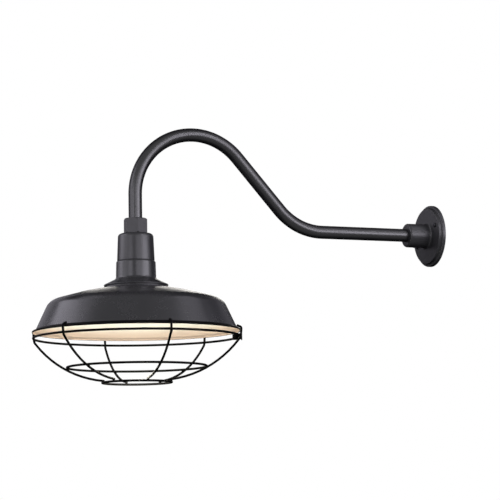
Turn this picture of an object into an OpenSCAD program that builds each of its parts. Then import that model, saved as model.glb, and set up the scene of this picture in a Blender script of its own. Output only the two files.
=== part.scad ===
// Gooseneck wall light for outdoors: a round canopy on the wall, a bent tube arm, a hexagonal
// coupling, a socket cap, a spun metal shade with a warm white inside, and a wire guard that
// hooks over the shade's lip. Millimetres, +Z up. The origin is the centre of the canopy's back
// on the wall, and the arm reaches out along -Y.

/* [Wall canopy] */
// Outside diameter of the canopy
canopy_d = 127; // [112:1:150]
// Thickness of the canopy's thin outer flange
flange_t = 5; // [4:0.5:7]
// Diameter of the raised face inside the flange
face_d = 115; // [108:1:120]
// Height of the raised face's edge from the wall
face_t = 9; // [8:0.5:12]
// How much the face climbs from its edge to the hub
face_climb = 2.5; // [1:0.5:5]
// Thickness of the cast wall over the hollow back
canopy_wall = 4; // [3:0.5:5]
// Outside diameter of the hub that holds the arm
hub_d = 49; // [44:1:54]
// Length of the hub from the wall to its front face
hub_len = 51; // [44:1:60]
// Rounding of the hub's front edge
hub_round = 4; // [1:0.5:6]
// Fillet where the hub meets the face
hub_fillet = 4; // [2:0.5:6]
// How deep the arm sits in the hub
hub_socket = 30; // [24:1:34]

/* [Wall fasteners] */
// Pitch circle of the two canopy screws
screw_circle = 88.9; // [84:0.1:92]
// Angle of the screw line above the horizontal
screw_angle = 24; // [0:1:45]
// Shank diameter of the canopy screws
screw_d = 4.16; // [3.5:0.01:5]
// How far the canopy screws reach behind the wall
screw_reach = 12; // [8:1:20]
// Head diameter of the canopy screws
screw_head_d = 8.6; // [7.5:0.1:10]
// Head height of the canopy screws
screw_head_h = 2.8; // [2:0.1:4]
// Thickness of the foam gasket in the canopy's back
gasket_t = 2; // [1.5:0.1:3]
// Width of the foam gasket's ring
gasket_w = 8; // [5:0.5:10]
// Diameter of the set screws that lock the arm
set_screw_d = 6.35; // [5:0.05:8]
// Distance of the outer set screw behind the hub's front face
set_screw_inset = 11; // [8:0.5:12]
// Distance between the two set screws
set_screw_pitch = 14; // [11:0.5:14]

/* [Gooseneck arm] */
// Outside diameter of the arm tube
tube_d = 26.7; // [24:0.1:28]
// Wall thickness of the arm tube
tube_wall = 2.6; // [2:0.1:3.5]
// Distance from the wall to the lamp's axis
arm_reach = 650; // [600:5:760]
// Height of the crown of the arm above the wall axis, on the tube's centre line
arm_rise = 185.5; // [170:0.5:210]
// Centre line radius of both bends
bend_r = 124; // [112:1:130]
// Angle of the sloping run above the horizontal
rise_angle = 48.5; // [44:0.5:54]

/* [Coupling] */
// Width of the hexagon across its flats
coupling_af = 41.6; // [40:0.1:46]
// Height of the hexagon
coupling_h = 30; // [26:1:36]
// Height of the coupling's top face above the wall axis
coupling_top = 13; // [0:1:25]
// How deep the arm sits in the coupling
coupling_socket = 18; // [12:1:20]
// Turn of the hexagon about the lamp's axis
coupling_turn = -7; // [-30:1:30]
// Outside diameter of the coupling's threaded spigot
spigot_d = 26.4; // [24:0.1:27]
// Length of the threaded spigot
spigot_len = 11; // [8:1:14]
// Diameter of the wire way through the coupling
wireway_d = 19; // [16:0.5:20]

/* [Socket cap] */
// Diameter of the cap's straight side at the top
cap_top_d = 69; // [66:0.5:74]
// Diameter of the cap at its open bottom
cap_d = 73.2; // [70:0.2:76]
// Height of the cap
cap_h = 53.5; // [52:0.5:60]
// Wall thickness of the cap
cap_wall = 3; // [2.4:0.1:4]
// Rounding of the cap's shoulder
cap_round = 7; // [4:0.5:10]
// Thickness of the cap's roof
cap_roof = 5; // [4:0.5:6]
// Thickness of the gasket between the cap and the shade
seal_t = 1; // [0.8:0.1:2]

/* [Shade] */
// Outside diameter over the lip
shade_d = 406.4; // [380:0.2:440]
// Sheet thickness of the spun shade
shade_wall = 1.4; // [1:0.1:2]
// Diameter of the neck at its top
neck_top_d = 76.8; // [74:0.2:80]
// Diameter of the neck at its foot
neck_d = 78.4; // [76:0.2:84]
// Height from the neck's top to where its line meets the flare's
neck_h = 34.5; // [32:0.1:40]
// Radius of the hollow bend from the neck to the flare
cove_r = 6; // [3:0.5:12]
// Diameter of the step that the flare ends in
step_d = 125.2; // [110:0.2:140]
// Height of the flare between the neck and the step
flare_h = 11.6; // [8:0.1:16]
// Height of the step down to the crown
step_h = 5.9; // [4:0.1:8]
// Radius of the step's two bends
step_r = 2; // [1.6:0.1:2.4]
// Diameter of the line where the crown turns from nearly flat to steeper
crown_d = 210; // [180:1:260]
// Fall of the crown's nearly flat part
crown_top_h = 8; // [6:0.1:10]
// Diameter where the crown's line meets the skirt's
shoulder_d = 339; // [310:1:350]
// Fall of the crown's steeper part
crown_h = 17.3; // [14:0.1:24]
// Radius of the shoulder
shoulder_r = 26; // [15:1:35]
// Diameter at the foot of the skirt
skirt_d = 388; // [365:1:390]
// Height of the skirt
skirt_h = 52.7; // [40:0.1:65]
// Fall of the lip's upper side from the skirt to the edge
lip_fall = 2; // [1:0.5:4]
// Height of the turned down edge
lip_h = 7; // [5:0.5:10]
// Radius of the lip's two bends
lip_r = 3; // [2:0.1:3]
// Diameter of the opening in the neck's roof
roof_hole_d = 44; // [42:0.5:48]

/* [Lampholder] */
// Outside diameter of the ceramic barrel
barrel_d = 38; // [36:0.5:39]
// Length of the barrel below its flange
barrel_len = 46; // [43:1:50]
// Diameter of the ceramic flange
holder_flange_d = 52; // [50:0.5:52]
// Thickness of the ceramic flange
holder_flange_t = 6; // [4:0.5:8]
// Depth of the flange's top below the cap's top
holder_drop = 23; // [20:1:25]
// Bore of the screw shell that takes the lamp
shell_bore_d = 26.4; // [26:0.1:27]
// Sheet thickness of the screw shell
shell_wall = 1; // [0.5:0.1:1.2]
// Depth of the screw shell
shell_len = 20; // [18:1:22]
// Room above the screw shell for the spring contact
contact_room = 9; // [8:0.5:11]
// Travel of the spring centre contact
contact_travel = 1.8; // [1:0.1:2.2]
// Diameter of the centre contact's stem
contact_stem_d = 4.8; // [4:0.1:5.4]
// Spacing of the two supply leads
lead_spacing = 7; // [5:0.5:9]
// Diameter of each supply lead over its insulation
lead_d = 2.6; // [2:0.1:3]

/* [Wire guard] */
// Diameter of the guard's wire
wire_d = 4; // [3:0.1:5]
// Number of ribs
rib_count = 6; // [6:1:6]
// Turn of the whole guard about the lamp's axis
guard_turn = -1; // [-10:1:10]
// How far the top ring's centre line lies inside the lip's edge
top_ring_inset = 2.9; // [1:0.1:5]
// Depth of the top ring below the lip
top_ring_drop = 9.6; // [7:0.1:16]
// Centre line diameter of the middle ring
mid_ring_d = 271; // [240:1:290]
// Depth of the middle ring below the lip
mid_ring_drop = 66.8; // [60:0.1:75]
// Centre line diameter of the bottom ring
low_ring_d = 135; // [110:1:160]
// Depth of the bottom ring below the lip
low_ring_drop = 97; // [90:0.5:110]
// Centre line radius of the hook over the lip
hook_r = 3.6; // [3.4:0.1:4.4]
// Radius of the bend where a rib's leg leaves the lip for the top ring
leg_r = 10; // [6:1:20]
// Depth of the knee below the top ring
knee_drop = 9.5; // [6:0.5:14]
// Radius of the knee
knee_r = 10; // [6:1:16]

/* [Guard clamp] */
// Angle of the clamp's middle about the lamp's axis
clamp_angle = 76; // [70:1:85]
// Gap between the clamp's two lugs
clamp_gap = 14; // [8:1:18]
// Height of the outer strap
strap_h = 16; // [12:0.5:18]
// Length of the outer strap
strap_len = 34; // [24:1:36]
// Thickness of the clamp's plates
plate_t = 2.6; // [2:0.1:3]
// How far the lugs reach in from the ring
lug_reach = 14; // [12:0.5:18]
// Height of the lugs
lug_h = 11; // [9:0.5:13]
// Shank diameter of the clamp screw
clamp_screw_d = 4; // [3:0.1:5]

/* [Hidden] */
// How much slimmer a bar comes out of the bender, on the radius
bend_relief = 0.05;
// Clearance of a part that sits in a bore, on the radius
fit = 0.05;
// Clearance between wires that are spot welded side by side
weld_gap = 0.1;
// Clearance between the hooks and the lip
hook_gap = 0.35;
// Overlap of a cutting shape past the face that it cuts
over = 1;
// Largest turn in one straight piece of a profile's arc
arc_step = 9;
$fn = 96;

canopy_r = canopy_d / 2;
hub_r = hub_d / 2;
tube_r = tube_d / 2;
screw_r = screw_d / 2;
screw_body_r = screw_r - 0.2;
screw_hole_r = screw_r + 0.67;
// Height of the lowest point of the sloping face under a screw head, where its seat is cut
screw_seat = face_t + face_climb * (face_d - screw_circle - screw_head_d) / (face_d - hub_d);
set_screw_r = set_screw_d / 2;
set_screw_at = [hub_len - set_screw_inset - set_screw_pitch, hub_len - set_screw_inset];
hollow_r = canopy_r - flange_t / 2 - gasket_w;
hollow_t = face_t - canopy_wall;
thread_start = hollow_t - 1;
ground_screw_r = 2.4;
ground_at = (tube_r + hollow_r) / 2;

// The arm: its two straight lines meet at corners that the bends then round
crown_corner = arm_rise - bend_r + bend_r * tan((90 + rise_angle) / 2);
knee_corner = arm_reach - crown_corner / tan(rise_angle);
arm_start = hub_len - hub_socket;
arm_end = coupling_top - coupling_socket;
arm_radii = [0, bend_r, bend_r, 0];

coupling_foot = coupling_top - coupling_h;
coupling_corner = coupling_af / 2 / cos(30);
coupling_chamfer = coupling_corner - coupling_af / 2;
coupling_screw_r = set_screw_r / 2;

cap_foot = coupling_foot - cap_h;
cap_r = cap_d / 2;
boss_r = 4;
boss_at = cap_r - cap_wall - boss_r / 2 - 1.1;
boss_len = 18;
boss_turn = 30;
small_screw_r = 1.9;
small_head_r = 3.2;
small_head_h = 2.2;
boss_hole = 12;
hex_deep = 3;
cap_roof_gap = 1;
spigot_wall = 3;

shade_top = cap_foot - seal_t;
shade_r = shade_d / 2;
neck_foot = shade_top - neck_h;
step_top = neck_foot - flare_h;
step_foot = step_top - step_h;
step_lean = 0.8;
crown_z = step_foot - crown_top_h;
crown_r = 200;
shoulder_z = crown_z - crown_h;
lip_inner_z = shoulder_z - skirt_h;
lip_edge_z = lip_inner_z - lip_fall;
lip_foot = lip_edge_z - lip_h;
roof_round = 2.5;

holder_top = coupling_foot - holder_drop;
holder_under = holder_top - holder_flange_t;
holder_foot = holder_under - barrel_len;
barrel_r = barrel_d / 2;
holder_screw_at = barrel_r + small_head_r + 0.2;
post_r = 3.7;
shell_r = shell_bore_d / 2;
shell_out_r = shell_r + shell_wall;
shell_foot = holder_foot + 1;
shell_top = shell_foot + shell_len;
holder_floor = shell_top + contact_room;
stem_r = contact_stem_d / 2;
collar_r = stem_r + 1.4;
collar_t = 1;
pocket_r = collar_r + 0.8;
pocket_foot = holder_top - contact_travel - collar_t - 1;
contact_head_r = stem_r + 2.1;
contact_head_t = 1.6;
spring_pressed_h = 2.6;
spring_h = contact_travel + spring_pressed_h;
spring_wire = 0.5;
spring_r = stem_r + 1.1;
spring_turns = 3;
terminal = [5, 8, 4];
terminal_tab = 1.5;

top_ring_r = shade_r - top_ring_inset;
mid_ring_r = mid_ring_d / 2;
low_ring_r = low_ring_d / 2;
top_ring_z = lip_foot - top_ring_drop;
mid_ring_z = lip_foot - mid_ring_drop;
low_ring_z = lip_foot - low_ring_drop;
wire_r = wire_d / 2;
side_by_side = wire_d + weld_gap;
hook_out = shade_r + hook_gap + wire_r;
hook_in = hook_out - 2 * hook_r;
hook_leg = 1.5;
hook_tip = lip_inner_z - lip_fall * (hook_in - wire_r - skirt_d / 2) / (shade_r - skirt_d / 2) + hook_gap;
hook_top = hook_tip + hook_leg + hook_r;

strap_r = top_ring_r + wire_r + weld_gap;
strap_z = lip_foot - 0.8 - strap_h;
clamp_screw_r = clamp_screw_d / 2;
lug_in = strap_r - lug_reach;
clamp_head_r = clamp_screw_r * 1.8;
clamp_head_h = clamp_screw_r * 1.3;
clamp_nut_af = clamp_screw_d * 1.75;
clamp_nut_r = clamp_nut_af / 2 / cos(30);
clamp_bolt_at = top_ring_r - wire_r - clamp_nut_r - 0.8;
clamp_nut_h = clamp_screw_d * 0.8;

// Direction and turning of flat paths
function heading(a, b) = atan2(b.y - a.y, b.x - a.x);
function wrapped(t) = t - 360 * floor((t + 180) / 360);
function along(h) = [cos(h), sin(h)];
function left_of(h) = [-sin(h), cos(h)];
function is_end(p, i) = i == 0 || i == len(p) - 1;
function turn_at(p, i) = is_end(p, i) ? 0 : wrapped(heading(p[i], p[i + 1]) - heading(p[i - 1], p[i]));
function arrive(p, i) = i == 0 ? heading(p[0], p[1]) : heading(p[i - 1], p[i]);
function leave(p, i) = arrive(p, i) + turn_at(p, i);
function cut_at(p, r, i) = is_end(p, i) ? 0 : r[i] * tan(abs(turn_at(p, i)) / 2);
function arc_start(p, r, i) = p[i] - cut_at(p, r, i) * along(arrive(p, i));
function arc_stop(p, r, i) = p[i] + cut_at(p, r, i) * along(leave(p, i));
function arc_centre(p, r, i) = arc_start(p, r, i) + sign(turn_at(p, i)) * r[i] * left_of(arrive(p, i));
function backwards(v) = [for (i = [len(v) - 1:-1:0]) v[i]];

// Points of a path whose corners are rounded by r, moved sideways to its left by side
function rounded(p, r, side = 0) = [
    for (i = [0:len(p) - 1])
        let (t = turn_at(p, i), steps = r[i] == 0 || t == 0 ? 0 : ceil(abs(t) / arc_step))
            for (k = [0:steps])
                steps == 0 ? mitred(p, i, side) : on_arc(p, r, i, t * k / steps, side)
];
function mitred(p, i, side) =
    let (a = left_of(arrive(p, i)), b = left_of(leave(p, i))) p[i] + side * (a + b) / (1 + a * b);
function on_arc(p, r, i, t, side) =
    let (n = left_of(arrive(p, i) + t)) arc_centre(p, r, i) + (side - sign(turn_at(p, i)) * r[i]) * n;

// Centre of the circle through three points
function circle_centre(a, b, c) =
    let (
        d = 2 * (a.x * (b.y - c.y) + b.x * (c.y - a.y) + c.x * (a.y - b.y)),
        aa = a * a,
        bb = b * b,
        cc = c * c
    ) [
        (aa * (b.y - c.y) + bb * (c.y - a.y) + cc * (a.y - b.y)) / d,
        (aa * (c.x - b.x) + bb * (a.x - c.x) + cc * (b.x - a.x)) / d
    ];
// Meeting point of the line through a at angle u and the line through b at angle v
function meeting(a, u, b, v) =
    let (k = ((b.x - a.x) * sin(v) - (b.y - a.y) * cos(v)) / sin(v - u)) a + k * along(u);

// A round bar along a path in the XZ plane, its corners bent to the radii r
module bent_bar(p, r, bar_r) {
    for (i = [0:len(p) - 2]) {
        a = arc_stop(p, r, i);
        b = arc_start(p, r, i + 1);
        low = i == 0 ? 0 : bend_relief;
        high = i == len(p) - 2 ? 0 : bend_relief;
        translate([a.x, 0, a.y]) rotate([0, 90 - heading(a, b), 0]) translate([0, 0, -low])
            cylinder(h = norm(b - a) + low + high, r = bar_r);
    }
    for (i = [1:1:len(p) - 2]) {
        t = turn_at(p, i);
        c = arc_centre(p, r, i);
        first = t > 0 ? arrive(p, i) - 90 : leave(p, i) + 90;
        translate([c.x, 0, c.y]) rotate([0, -first, 0]) rotate([90, 0, 0])
            rotate_extrude(angle = abs(t)) translate([r[i], 0]) circle(r = bar_r - bend_relief);
    }
}

// A cylinder on the Z axis from the height low to the height high
module cylinder_between(low, high, r) translate([0, 0, low]) cylinder(h = high - low, r = r);
// Puts a shape built on the local Z axis onto the wall, with Z pointing out of the wall
module on_wall() rotate([90, 0, 0]) children();
// Moves a shape built on the local Z axis to the lamp's axis
module at_lamp() translate([0, -arm_reach, 0]) children();
// Turns the XZ plane so that X points out from the wall
module along_arm() rotate([0, 0, -90]) children();

module pan_screw(shank_r, shank_len, head_r, head_h) {
    translate([0, 0, -shank_len]) cylinder(h = shank_len, r = shank_r);
    rotate_extrude()
        polygon(concat([[0, 0]], rounded([[head_r, 0], [head_r, head_h], [0, head_h]], [0, head_h * 0.7, 0])));
}

// Canopy

module canopy_outline() {
    outline = [
        [canopy_r, 0], [canopy_r, flange_t], [face_d / 2 + 1, flange_t], [face_d / 2, face_t],
        [hub_r, face_t + face_climb], [hub_r, hub_len], [0, hub_len]
    ];
    polygon(concat([[0, 0]], rounded(outline, [0, flange_t * 0.45, 1, 1.2, hub_fillet, hub_round, 0])));
}

module at_screws(angle = screw_angle)
    for (a = [0, 180]) rotate(a + angle) translate([screw_circle / 2, 0, 0]) children();

module canopy() color("#2b2b2d") on_wall() difference() {
    rotate_extrude() canopy_outline();
    translate([0, 0, -over]) cylinder(h = gasket_t + over, r = hollow_r + gasket_w);
    translate([0, 0, -over]) cylinder(h = hollow_t + over, r = hollow_r);
    translate([0, 0, arm_start]) cylinder(h = hub_len, r = tube_r + fit);
    cylinder(h = hub_len, r = tube_r - tube_wall);
    at_screws() cylinder(h = hub_len, r = screw_hole_r);
    at_screws() translate([0, 0, screw_seat]) cylinder(h = hub_len, r = screw_head_d / 2 + 0.5);
    for (z = set_screw_at) translate([0, 0, z]) rotate([90, 0, 0]) cylinder(h = hub_d, r = set_screw_r + fit);
    translate([ground_at, 0, 0]) cylinder(h = face_t - 1, r = ground_screw_r + fit);
}

module wall_gasket() color("#1a1a1a") on_wall() difference() {
    cylinder(h = gasket_t, r = hollow_r + gasket_w - fit);
    translate([0, 0, -over]) cylinder(h = gasket_t + 2 * over, r = hollow_r);
}

module canopy_screws() color("#3a3a3c") on_wall() at_screws() {
    translate([0, 0, screw_seat])
        pan_screw(screw_body_r, screw_seat - thread_start, screw_head_d / 2, screw_head_h);
    cylinder_between(-screw_reach, thread_start, screw_r);
}

module hub_set_screws() color("#8c8c8e") on_wall() for (z = set_screw_at)
    translate([0, -tube_r - 2 * fit, z]) rotate([90, 0, 0]) difference() {
        cylinder(h = hub_r - tube_r + 0.4, r = set_screw_r);
        translate([0, 0, hub_r - tube_r - hex_deep])
            cylinder(h = hex_deep + 1, r = set_screw_r * 0.55, $fn = 6);
    }

module ground_screw() color("#2f7d3c") on_wall() translate([ground_at, 0, hollow_t]) mirror([0, 0, 1])
    pan_screw(ground_screw_r, canopy_wall - 1.2, ground_screw_r * 1.7, 1.8);

// Arm

module arm_bar(bar_r, past = 0, first = arm_start, last = arm_end)
    along_arm() bent_bar(
        [[first - past, 0], [knee_corner, 0], [arm_reach, crown_corner], [arm_reach, last - past]],
        arm_radii, bar_r
    );

module gooseneck_tube() color("#2e2e30") difference() {
    arm_bar(tube_r);
    arm_bar(tube_r - tube_wall, past = over);
}

// Outline that takes the corners off the top and foot of the hexagon
coupling_turned = [
    [0, coupling_foot], [coupling_af / 2, coupling_foot],
    [coupling_corner + over, coupling_foot + coupling_chamfer],
    [coupling_corner + over, coupling_top - coupling_chamfer],
    [coupling_af / 2, coupling_top], [0, coupling_top]
];

module hexagon() cylinder_between(coupling_foot, coupling_top, coupling_corner, $fn = 6);

module hex_coupling() color("#2e2e30") at_lamp() difference() {
    union() {
        intersection() {
            rotate(coupling_turn) hexagon();
            rotate_extrude() polygon(coupling_turned);
        }
        cylinder_between(coupling_foot - spigot_len, arm_end - over, spigot_d / 2);
    }
    cylinder_between(arm_end, coupling_top + over, tube_r + fit);
    cylinder_between(coupling_foot - spigot_len - over, coupling_top, wireway_d / 2);
    coupling_screw_place() cylinder(h = coupling_corner, r = coupling_screw_r + fit);
}

module coupling_screw_place()
    rotate(coupling_turn + 90) translate([0, 0, coupling_top - coupling_socket / 2]) rotate([0, 90, 0]) children();

module coupling_set_screw() color("#8c8c8e") at_lamp() coupling_screw_place() difference() {
    cylinder_between(tube_r + 2 * fit, coupling_af / 2 - 0.5, coupling_screw_r);
    cylinder_between(coupling_af / 2 - 2.5, coupling_af / 2, coupling_screw_r * 0.6, $fn = 6);
}

// Socket cap

module at_bosses() for (a = [0, 120, 240]) rotate(a + boss_turn) translate([boss_at, 0, 0]) children();
module at_holder_screws() for (s = [-1, 1]) translate([s * holder_screw_at, 0, 0]) children();

module socket_cap() color("#2e2e30") at_lamp() difference() {
    union() {
        difference() {
            rotate_extrude() polygon(rounded([
                [0, cap_foot], [cap_r, cap_foot], [cap_top_d / 2, coupling_foot], [0, coupling_foot]
            ], [0, 0.6, cap_round, 0]));
            rotate_extrude() polygon(rounded([
                [0, cap_foot - over], [cap_r - cap_wall, cap_foot - over],
                [cap_top_d / 2 - cap_wall, coupling_foot - cap_roof], [0, coupling_foot - cap_roof]
            ], [0, 0, cap_round - cap_wall, 0]));
        }
        intersection() {
            at_bosses() translate([0, 0, cap_foot]) cylinder(h = boss_len, r = boss_r);
            translate([0, 0, cap_foot]) cylinder(h = cap_h, r = cap_top_d / 2 - 0.5);
        }
        at_holder_screws() translate([0, 0, holder_top])
            cylinder(h = coupling_foot - cap_roof_gap - holder_top, r = post_r);
        translate([0, 0, coupling_foot - spigot_len - cap_roof_gap])
            cylinder(h = spigot_len, r = spigot_d / 2 + spigot_wall);
    }
    translate([0, 0, coupling_foot - spigot_len - 2 * over]) cylinder(h = cap_h, r = spigot_d / 2 + fit);
    at_bosses() translate([0, 0, cap_foot - over]) cylinder(h = boss_hole + over, r = small_screw_r + fit);
    at_holder_screws() translate([0, 0, holder_top - over]) cylinder(h = boss_hole + over, r = small_screw_r + fit);
}

module neck_seal() color("#b9b4aa") at_lamp() difference() {
    translate([0, 0, shade_top]) cylinder(h = seal_t, r = neck_top_d / 2 - roof_round);
    translate([0, 0, shade_top - over]) cylinder(h = seal_t + 2 * over, r = roof_hole_d / 2);
    at_bosses() translate([0, 0, shade_top - over]) cylinder(h = seal_t + 2 * over, r = small_screw_r + 0.4);
}

// Shade

shade_line = [
    [roof_hole_d / 2, shade_top], [neck_top_d / 2, shade_top], [neck_d / 2, neck_foot],
    [step_d / 2, step_top], [step_d / 2 + step_lean, step_foot],
    [crown_d / 2, crown_z], [shoulder_d / 2, shoulder_z], [skirt_d / 2, lip_inner_z],
    [shade_r, lip_edge_z], [shade_r, lip_foot]
];
shade_radii = [0, roof_round, cove_r, step_r, step_r, crown_r, shoulder_r, lip_r, lip_r, 0];

module shade() color("#2b2b2d") at_lamp() difference() {
    rotate_extrude($fn = 180)
        polygon(concat(
            rounded(shade_line, shade_radii),
            backwards(rounded(shade_line, shade_radii, -shade_wall))
        ));
    at_bosses() translate([0, 0, shade_top - shade_wall - over])
        cylinder(h = shade_wall + 2 * over, r = small_screw_r + 0.3);
}

module shade_screws() color("#9a9a9c") at_lamp() at_bosses() translate([0, 0, shade_top - shade_wall])
    mirror([0, 0, 1]) pan_screw(small_screw_r, shade_wall + seal_t + boss_hole - 2, small_head_r, small_head_h);

// Lampholder

module lampholder_body() color("#eeeae0") at_lamp() difference() {
    rotate_extrude() polygon(rounded([
        [0, holder_foot], [barrel_r, holder_foot], [barrel_r, holder_under],
        [holder_flange_d / 2, holder_under], [holder_flange_d / 2, holder_top], [0, holder_top]
    ], [0, 1.5, 0, 0.8, 0.8, 0]));
    translate([0, 0, holder_foot - over]) cylinder(h = shell_top - holder_foot + over, r = shell_out_r + fit);
    cylinder_between(shell_top - over, holder_floor, shell_r - 0.5);
    cylinder_between(holder_foot, holder_top + over, stem_r + fit);
    cylinder_between(pocket_foot, holder_top + over, pocket_r);
    at_holder_screws() cylinder_between(holder_under - over, holder_top + over, small_screw_r + 0.2);
}

module screw_shell() color("#c9a349") at_lamp() difference() {
    cylinder_between(shell_foot, shell_top, shell_out_r);
    cylinder_between(shell_foot - over, shell_top + over, shell_r);
}

module holder_screws() color("#9a9a9c") at_lamp() at_holder_screws() translate([0, 0, holder_under])
    mirror([0, 0, 1]) pan_screw(small_screw_r, holder_flange_t + boss_hole - 2, small_head_r, small_head_h);

contact_head_top = holder_floor - spring_h;

module centre_contact() color("#c9a349") at_lamp() {
    rotate_extrude() polygon(rounded([
        [0, contact_head_top - contact_head_t], [contact_head_r, contact_head_top - contact_head_t],
        [contact_head_r, contact_head_top], [stem_r, contact_head_top], [stem_r, pocket_foot + fit],
        [collar_r, pocket_foot + fit], [collar_r, pocket_foot + fit + collar_t], [0, pocket_foot + fit + collar_t]
    ], [0, 1, 0, 0, 0, 0, 0, 0]));
}

// One ring of the spring's wire at a turn t of its helix
function spring_ring(t, sides) = [
    for (k = [0:sides - 1])
        let (r = spring_r + spring_wire / 2 * cos(360 * k / sides))
            [r * cos(t), r * sin(t), spring_rise(t) + spring_wire / 2 * sin(360 * k / sides)]
];
function spring_rise(t) = spring_wire / 2 + (spring_h - spring_wire - 0.1) * t / (360 * spring_turns) + 0.05;

module contact_spring() color("#b8b8ba") at_lamp() translate([0, 0, contact_head_top]) {
    sides = 6;
    step = 20;
    rings = 360 * spring_turns / step;
    points = [for (i = [0:rings]) for (p = spring_ring(i * step, sides)) p];
    wall = [
        for (i = [0:rings - 1]) for (k = [0:sides - 1])
            [i * sides + k, (i + 1) * sides + k, (i + 1) * sides + (k + 1) % sides, i * sides + (k + 1) % sides]
    ];
    first = [for (k = [0:sides - 1]) k];
    last = [for (k = [sides - 1:-1:0]) rings * sides + k];
    polyhedron(points, concat(wall, [first, last]), convexity = 8);
}

// A terminal stands beside the pocket, and its tab reaches over it to the end of the lead
module terminal_block(side) at_lamp()
    translate([(side * (lead_spacing + terminal.x - lead_d) - terminal.x) / 2, 0, holder_top]) {
        translate([0, -pocket_r - terminal.y, 0]) cube(terminal);
        translate([0, -pocket_r - over, terminal.z - terminal_tab])
            cube([terminal.x, pocket_r + over + lead_d, terminal_tab]);
    }

module line_terminal() color("#c9a349") terminal_block(1);
module neutral_terminal() color("#b8b8ba") terminal_block(-1);

module lead(side, last)
    translate([side * lead_spacing / 2, 0, 0]) arm_bar(lead_d / 2, first = 1, last = last);

module black_lead() color("#161616") lead(1, holder_top + terminal.z);
module white_lead() color("#e6e6e2") lead(-1, holder_top + terminal.z);

// Wire guard

knee_point = [top_ring_r, top_ring_z - knee_drop];
low_point = [low_ring_r, low_ring_z + side_by_side];
bowl_slope = heading(low_point, knee_point);
mid_point = [mid_ring_r, mid_ring_z] + side_by_side * [sin(bowl_slope), -cos(bowl_slope)];
bowl_centre = circle_centre(knee_point, mid_point, low_point);
bowl_r = norm(knee_point - bowl_centre);
knee_heading = heading(bowl_centre, knee_point) - 90;
low_heading = heading(bowl_centre, low_point) - 90;
hook_shoulder = [hook_out, hook_top];
leg_foot = [hook_out, lip_foot - hook_gap];
ring_pass = [top_ring_r + side_by_side, top_ring_z];
leg_heading = heading(leg_foot, ring_pass);
rib_line = [
    [hook_in, hook_tip], [hook_in, hook_top], hook_shoulder, leg_foot,
    meeting(leg_foot, leg_heading, knee_point, knee_heading),
    meeting(knee_point, knee_heading, low_point, low_heading),
    low_point + wire_r * along(low_heading)
];
rib_radii = [0, hook_r, hook_r, leg_r, knee_r, bowl_r, 0];

module rib(n) color("#1c1c1e") at_lamp() rotate(guard_turn + 360 / rib_count * n)
    bent_bar(rib_line, rib_radii, wire_r);

module ring(r, z) color("#1c1c1e") at_lamp() translate([0, 0, z]) rotate_extrude()
    translate([r, 0]) circle(r = wire_r);

module guard_rib_1() rib(0);
module guard_rib_2() rib(1);
module guard_rib_3() rib(2);
module guard_rib_4() rib(3);
module guard_rib_5() rib(4);
module guard_rib_6() rib(5);

module guard_middle_ring() ring(mid_ring_r, mid_ring_z);
module guard_bottom_ring() ring(low_ring_r, low_ring_z);

// Half of the clamp's gap as an angle at the ring, and the frame of the clamp: X out, Y round the ring
gap_half = asin((clamp_gap / 2 + plate_t + 2 * weld_gap) / top_ring_r);
// Turn from the clamp's middle back to the strap's, so that the strap lies flat against the ring
strap_turn = -(clamp_gap + plate_t + strap_len) / 2 / top_ring_r * 180 / PI;
module at_clamp() at_lamp() rotate(guard_turn + clamp_angle) children();

module guard_top_ring() color("#1c1c1e") at_clamp() translate([0, 0, top_ring_z]) rotate(gap_half)
    rotate_extrude(angle = 360 - 2 * gap_half) translate([top_ring_r, 0]) circle(r = wire_r);

module lug(side, reach)
    translate([lug_in, side > 0 ? clamp_gap / 2 : -clamp_gap / 2 - plate_t, top_ring_z - lug_h / 2])
        cube([reach, plate_t, lug_h]);

module clamp_holes() translate([clamp_bolt_at, 0, top_ring_z]) rotate([90, 0, 0])
    cylinder(h = 3 * clamp_gap, r = clamp_screw_r + 0.25, center = true);

module clamp_strap() color("#1c1c1e") at_clamp() difference() {
    union() {
        rotate(strap_turn) translate([strap_r, -strap_len / 2, strap_z]) cube([plate_t, strap_len, strap_h]);
        lug(-1, lug_reach + plate_t);
    }
    clamp_holes();
}

module clamp_lug() color("#1c1c1e") at_clamp() difference() {
    lug(1, lug_reach);
    clamp_holes();
}

module clamp_screw() color("#77787a") at_clamp()
    translate([clamp_bolt_at, -clamp_gap / 2 - plate_t, top_ring_z]) rotate([90, 0, 0])
        pan_screw(clamp_screw_r, clamp_gap + 2 * plate_t + clamp_nut_h + 2, clamp_head_r, clamp_head_h);

module clamp_nut() color("#77787a") at_clamp()
    translate([clamp_bolt_at, clamp_gap / 2 + plate_t, top_ring_z]) rotate([-90, 0, 0]) difference() {
        cylinder(h = clamp_nut_h, r = clamp_nut_r, $fn = 6);
        translate([0, 0, -over]) cylinder(h = clamp_nut_h + 2 * over, r = clamp_screw_r + fit);
    }

canopy();
wall_gasket();
canopy_screws();
hub_set_screws();
ground_screw();
gooseneck_tube();
hex_coupling();
coupling_set_screw();
socket_cap();
neck_seal();
shade();
shade_screws();
lampholder_body();
screw_shell();
holder_screws();
centre_contact();
contact_spring();
line_terminal();
neutral_terminal();
black_lead();
white_lead();
guard_top_ring();
guard_middle_ring();
guard_bottom_ring();
guard_rib_1();
guard_rib_2();
guard_rib_3();
guard_rib_4();
guard_rib_5();
guard_rib_6();
clamp_strap();
clamp_lug();
clamp_screw();
clamp_nut();
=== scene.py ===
# %% [markdown]
# # A gooseneck wall light and its finish
# The light is already built as a set of solids at their real size, and they arrive here as a fixed frame.
# This lesson gives each of them its finish, and models anew the pieces whose looks need more than a solid
# has: the bent tube, the spun shade, the wires with their welds, the threads, the spring and the screw
# heads. Everything is in metres, with the origin at the middle of the canopy's back, +Z up and the arm
# along -Y.

# %% Load the frame
import math

import bmesh
import bpy
import numpy
from mathutils import Matrix, Vector
from mathutils.geometry import intersect_line_line


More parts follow.
